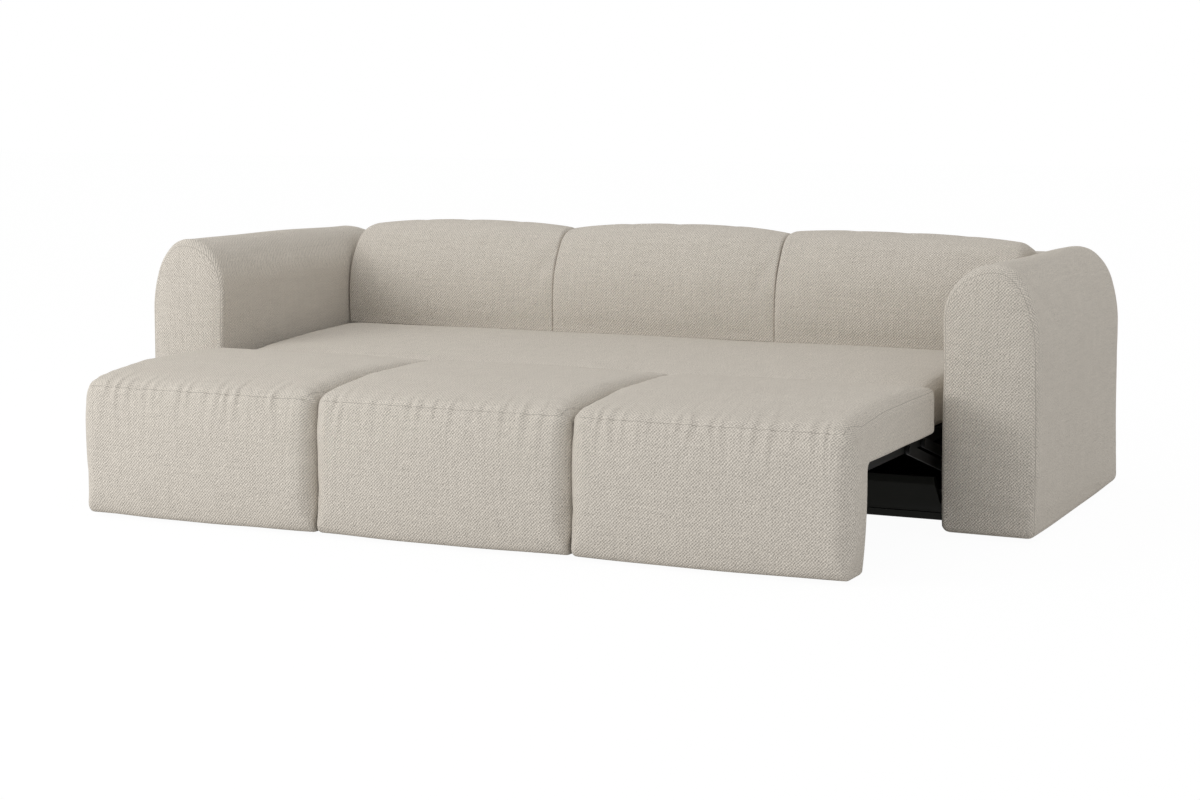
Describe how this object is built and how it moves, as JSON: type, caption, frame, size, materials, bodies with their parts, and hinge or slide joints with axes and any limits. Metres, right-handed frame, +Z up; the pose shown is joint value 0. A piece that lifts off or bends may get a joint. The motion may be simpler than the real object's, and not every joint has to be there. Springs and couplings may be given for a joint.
{
  "type": "sofa bed",
  "caption": "Upholstered sofa bed with arched arms, drawn open: L-shaped seat blocks stand forward on swing links and a sleeping pad fills the space behind.",
  "frame": {"origin": "on the floor, under the middle of the open bed's bounding box", "axes": "+X to the right of someone who faces the sofa, +Y from the seat's front to the back, +Z up"},
  "size_m": [2.6788, 1.788, 0.744],
  "materials": {
    "upholstery": "coarse matte weave over foam",
    "black_board": "black stained board",
    "timber": "bare plywood and pine",
    "black_steel": "black powder coat",
    "zinc_steel": "zinc plated",
    "black_plastic": "moulded, matte",
    "webbing": "elastic webbing"
  },
  "bodies": {
    "base": {"arm_bolts": "zinc_steel", "arm_cover_left": "upholstery", "arm_cover_right": "upholstery", "arm_frame_left": "timber", "arm_frame_right": "timber", "back_bolts": "zinc_steel", "back_cover": "upholstery", "back_cushion_1": "upholstery", "back_cushion_2": "upholstery", "back_cushion_3": "upholstery", "back_frame": "timber", "back_straps": "webbing", "base_corner_blocks": "black_board", "base_cross_rails": "black_board", "base_floor_panel": "black_board", "base_front_board": "black_board", "base_plinth": "black_board", "base_rear_board": "black_board", "base_side_board_left": "black_board", "base_side_board_right": "black_board", "cushion_ledge": "timber", "floor_glides": "black_plastic", "ledge_brackets": "black_steel", "mechanism_plate_left": "black_steel", "mechanism_plate_right": "black_steel", "pad_link_pivots": "black_steel", "plate_screws": "black_steel", "seat_link_pivots": "black_steel"},
    "seat_unit": {"seat_frame": "black_steel", "front_brackets": "black_steel", "front_glides": "black_plastic", "seat_pins": "black_steel", "seat_module_1": "upholstery", "seat_panel_1": "black_board", "front_core_1": "timber", "seat_module_2": "upholstery", "seat_panel_2": "black_board", "front_core_2": "timber", "seat_module_3": "upholstery", "seat_panel_3": "black_board", "front_core_3": "timber"},
    "pad_unit": {"pad_frame": "black_steel", "pad_panel": "black_board", "pad_pins": "black_steel", "sleeping_pad": "upholstery"},
    "main_link_left": {"main_link_left": "black_steel"},
    "guide_link_left": {"guide_link_left": "black_steel", "crank_pin_left": "black_steel"},
    "connecting_rod_left": {"connecting_rod_left": "black_steel"},
    "pad_link_front_left": {"pad_link_front_left": "black_steel", "lever_pin_left": "black_steel"},
    "pad_link_rear_left": {"pad_link_rear_left": "black_steel"},
    "main_link_right": {"main_link_right": "black_steel"},
    "guide_link_right": {"guide_link_right": "black_steel", "crank_pin_right": "black_steel"},
    "connecting_rod_right": {"connecting_rod_right": "black_steel"},
    "pad_link_front_right": {"pad_link_front_right": "black_steel", "lever_pin_right": "black_steel"},
    "pad_link_rear_right": {"pad_link_rear_right": "black_steel"}
  },
  "joints": [
    {"name": "bed_fold", "type": "hinge", "parent": "base", "child": "main_link_left", "pos_m": [-1.0657, -0.033, 0.15264], "axis": [-1, 0, 0], "range_deg": [0, 148]},
    {"name": "seat_level", "type": "hinge", "parent": "main_link_left", "child": "seat_unit", "pos_m": [-1.0657, -0.38194, 0.2527], "axis": [-1, 0, 0], "range_deg": [-148, 0]},
    {"name": "main_link_turn_right", "type": "hinge", "parent": "base", "child": "main_link_right", "pos_m": [1.0657, -0.033, 0.15264], "axis": [-1, 0, 0], "range_deg": [0, 148]},
    {"name": "guide_link_turn_left", "type": "hinge", "parent": "base", "child": "guide_link_left", "pos_m": [-1.0657, 0.097, 0.15264], "axis": [-1, 0, 0], "range_deg": [0, 148]},
    {"name": "rod_turn_left", "type": "hinge", "parent": "guide_link_left", "child": "connecting_rod_left", "pos_m": [-1.0557, 0.08237, 0.17652], "axis": [-1, 0, 0], "range_deg": [-171.04, 0]},
    {"name": "pad_link_front_turn_left", "type": "hinge", "parent": "base", "child": "pad_link_front_left", "pos_m": [-1.044, 0.0135, 0.04182], "axis": [-1, 0, 0], "range_deg": [0, 84]},
    {"name": "pad_link_rear_turn_left", "type": "hinge", "parent": "base", "child": "pad_link_rear_left", "pos_m": [-1.044, 0.3635, 0.04182], "axis": [-1, 0, 0], "range_deg": [0, 84]},
    {"name": "guide_link_turn_right", "type": "hinge", "parent": "base", "child": "guide_link_right", "pos_m": [1.0657, 0.097, 0.15264], "axis": [-1, 0, 0], "range_deg": [0, 148]},
    {"name": "rod_turn_right", "type": "hinge", "parent": "guide_link_right", "child": "connecting_rod_right", "pos_m": [1.0557, 0.08237, 0.17652], "axis": [-1, 0, 0], "range_deg": [-171.04, 0]},
    {"name": "pad_link_front_turn_right", "type": "hinge", "parent": "base", "child": "pad_link_front_right", "pos_m": [1.044, 0.0135, 0.04182], "axis": [-1, 0, 0], "range_deg": [0, 84]},
    {"name": "pad_link_rear_turn_right", "type": "hinge", "parent": "base", "child": "pad_link_rear_right", "pos_m": [1.044, 0.3635, 0.04182], "axis": [-1, 0, 0], "range_deg": [0, 84]},
    {"name": "pad_level", "type": "hinge", "parent": "pad_link_front_left", "child": "pad_unit", "pos_m": [-1.044, 0.00652, 0.2417], "axis": [-1, 0, 0], "range_deg": [-84, 0]}
  ],
  "couplings": [
    {"joint": "seat_level", "follows": "bed_fold", "ratio": -1},
    {"joint": "main_link_turn_right", "follows": "bed_fold", "ratio": 1},
    {"joint": "guide_link_turn_left", "follows": "bed_fold", "ratio": 1},
    {"joint": "rod_turn_left", "follows": "bed_fold", "ratio": -1.1557},
    {"joint": "pad_link_front_turn_left", "follows": "bed_fold", "ratio": 0.56757},
    {"joint": "pad_link_rear_turn_left", "follows": "bed_fold", "ratio": 0.56757},
    {"joint": "guide_link_turn_right", "follows": "bed_fold", "ratio": 1},
    {"joint": "rod_turn_right", "follows": "bed_fold", "ratio": -1.1557},
    {"joint": "pad_link_front_turn_right", "follows": "bed_fold", "ratio": 0.56757},
    {"joint": "pad_link_rear_turn_right", "follows": "bed_fold", "ratio": 0.56757},
    {"joint": "pad_level", "follows": "bed_fold", "ratio": -0.56757}
  ]
}
